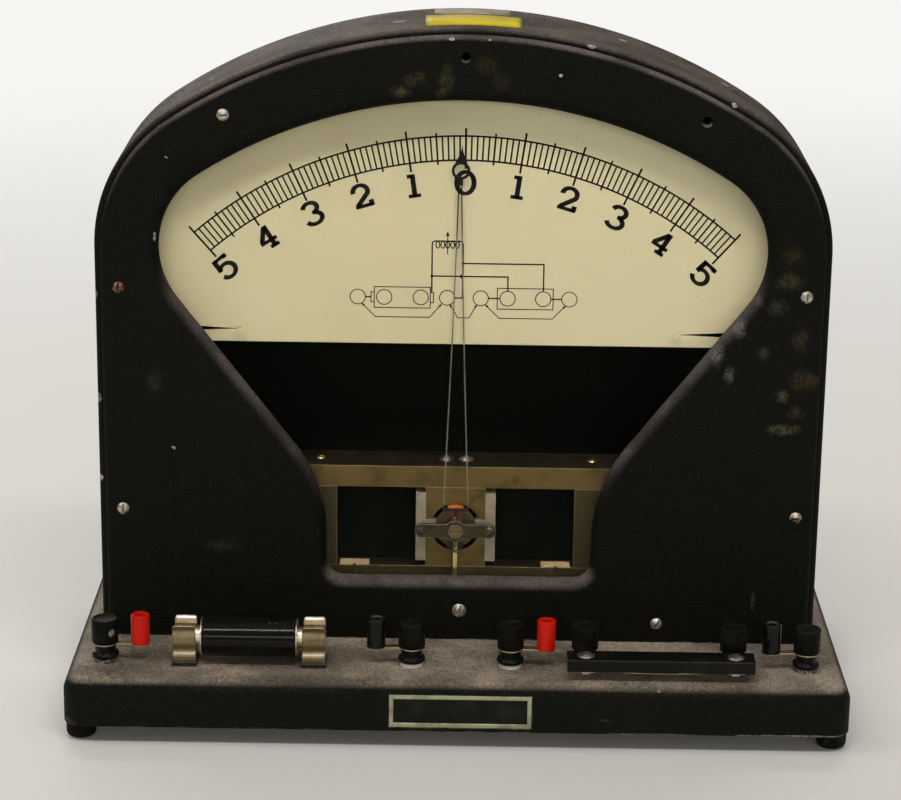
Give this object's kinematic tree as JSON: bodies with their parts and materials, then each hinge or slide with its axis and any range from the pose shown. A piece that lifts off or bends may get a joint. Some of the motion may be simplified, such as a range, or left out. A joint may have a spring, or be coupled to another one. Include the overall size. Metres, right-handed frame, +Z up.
{
  "type": "demonstration galvanometer",
  "caption": "Large-dial moving-coil galvanometer in an arched black case on a wide base, with binding posts, a plug-in resistor and a removable shunt along the front.",
  "frame": {"origin": "centre of the base at the level of the table", "axes": "+Z up, +X to the right seen from the dial side, -Y towards the viewer of the dial"},
  "size_m": [0.3916, 0.192, 0.3502],
  "materials": {
    "base_paint": "wrinkle paint, dusty",
    "case_paint": "black wrinkle paint",
    "cover_steel": "plain black paint",
    "foot_rubber": "matt",
    "steel_screw": "plain",
    "nickel": "dull nickel plate",
    "window_glass": "clear",
    "dial_enamel": "cream enamel",
    "yoke_plate": "dull chromate",
    "brass": "bright",
    "grey_metal": "satin",
    "bridge_metal": "satin",
    "magnet_black": "black",
    "core_iron": "turned",
    "coil_copper": "varnished winding",
    "pivot_steel": "polished",
    "pointer_metal": "black at the tip, bare wire below",
    "hairspring_bronze": "bright",
    "tag_fibre": "tan fibre",
    "lead_insulation": "red insulation",
    "black_phenolic": "moulded",
    "strip_brass": "dull spring strip",
    "red_plastic": "moulded",
    "black_plastic": "moulded",
    "clip_bronze": "dull nickel plate",
    "insulator": "dark fibre",
    "resistor_enamel": "gloss black",
    "plate_metal": "etched border"
  },
  "bodies": {
    "root": {"base": "base_paint", "base_cover": "cover_steel", "rubber_feet": "foot_rubber", "foot_screws": "steel_screw", "case_shell": "case_paint", "shell_screws": "steel_screw", "front_bezel": "case_paint", "bezel_screws": "nickel", "window_glass": "window_glass", "glass_clips": "steel_screw", "dial_plate": "dial_enamel", "dial_posts": "steel_screw", "dial_screws": "steel_screw", "top_bar": "yoke_plate", "bottom_bar": "yoke_plate", "uprights": "yoke_plate", "pole_screws": "nickel", "frame_screws": "brass", "pole_pieces": "yoke_plate", "side_strips": "grey_metal", "magnets": "magnet_black", "core": "core_iron", "core_arms": "grey_metal", "front_bridge": "bridge_metal", "rear_bridge": "bridge_metal", "bridge_screws": "bridge_metal", "jewel_screws": "brass", "rear_hairspring": "hairspring_bronze", "terminal_tags": "tag_fibre", "movement_legs": "steel_screw", "lead_wires": "lead_insulation", "post_collars": "black_phenolic", "post_washers": "nickel", "post_studs": "brass", "stud_nuts": "nickel", "jack_strips": "strip_brass", "red_sleeves": "red_plastic", "black_sleeves": "black_plastic", "fuse_clips": "clip_bronze", "clip_insulators": "insulator", "clip_screws": "nickel", "name_plate": "plate_metal"},
    "pointer_system": {"moving_coil": "coil_copper", "pivots": "pivot_steel", "pointer": "pointer_metal"},
    "zero_lever": {"zero_lever": "brass", "front_hairspring": "hairspring_bronze"},
    "zero_screw": {"zero_screw": "nickel"},
    "knob_1": {"knob_1": "black_phenolic"},
    "knob_2": {"knob_2": "black_phenolic"},
    "knob_3": {"knob_3": "black_phenolic"},
    "knob_4": {"knob_4": "black_phenolic"},
    "knob_5": {"knob_5": "black_phenolic"},
    "knob_6": {"knob_6": "black_phenolic"},
    "resistor": {"resistor_body": "resistor_enamel", "ferrules": "clip_bronze"},
    "shunt": {"shunt_bar": "black_phenolic", "shunt_tongues": "strip_brass", "shunt_screws": "nickel", "shunt_strip": "strip_brass"}
  },
  "joints": [
    {"name": "pointer_swing", "type": "hinge", "parent": "root", "child": "pointer_system", "pos_m": [-0.0019, 0, 0.0893], "axis": [0, 1, 0], "range_deg": [-45, 45], "stiffness_Nm_per_rad": 0.004},
    {"name": "zero_turn", "type": "hinge", "parent": "root", "child": "zero_screw", "pos_m": [0.0005, 0, 0.0504], "axis": [0, 1, 0], "range_deg": [-60, 60]},
    {"name": "zero_lever_swing", "type": "hinge", "parent": "root", "child": "zero_lever", "pos_m": [-0.0019, 0, 0.0893], "axis": [0, 1, 0], "range_deg": [-7, 7]},
    {"name": "knob_1_turn", "type": "hinge", "parent": "root", "child": "knob_1", "pos_m": [-0.17702, -0.0679, 0.0436], "axis": [0, 0, 1], "range_deg": [0, 720]},
    {"name": "knob_2_turn", "type": "hinge", "parent": "root", "child": "knob_2", "pos_m": [-0.02289, -0.0679, 0.0436], "axis": [0, 0, 1], "range_deg": [0, 720]},
    {"name": "knob_3_turn", "type": "hinge", "parent": "root", "child": "knob_3", "pos_m": [0.02669, -0.0679, 0.0436], "axis": [0, 0, 1], "range_deg": [0, 720]},
    {"name": "knob_4_turn", "type": "hinge", "parent": "root", "child": "knob_4", "pos_m": [0.17542, -0.0679, 0.0436], "axis": [0, 0, 1], "range_deg": [0, 720]},
    {"name": "knob_5_turn", "type": "hinge", "parent": "root", "child": "knob_5", "pos_m": [0.06403, -0.0679, 0.0436], "axis": [0, 0, 1], "range_deg": [0, 720]},
    {"name": "knob_6_turn", "type": "hinge", "parent": "root", "child": "knob_6", "pos_m": [0.13843, -0.0679, 0.0436], "axis": [0, 0, 1], "range_deg": [0, 720]},
    {"name": "resistor_lift", "type": "slide", "parent": "root", "child": "resistor", "axis": [0, 0, 1], "range_m": [0, 0.03]},
    {"name": "shunt_draw", "type": "slide", "parent": "root", "child": "shunt", "axis": [0, -1, 0], "range_m": [0, 0.03]}
  ],
  "couplings": [
    {"joint": "zero_lever_swing", "follows": "zero_turn", "ratio": -0.098}
  ]
}
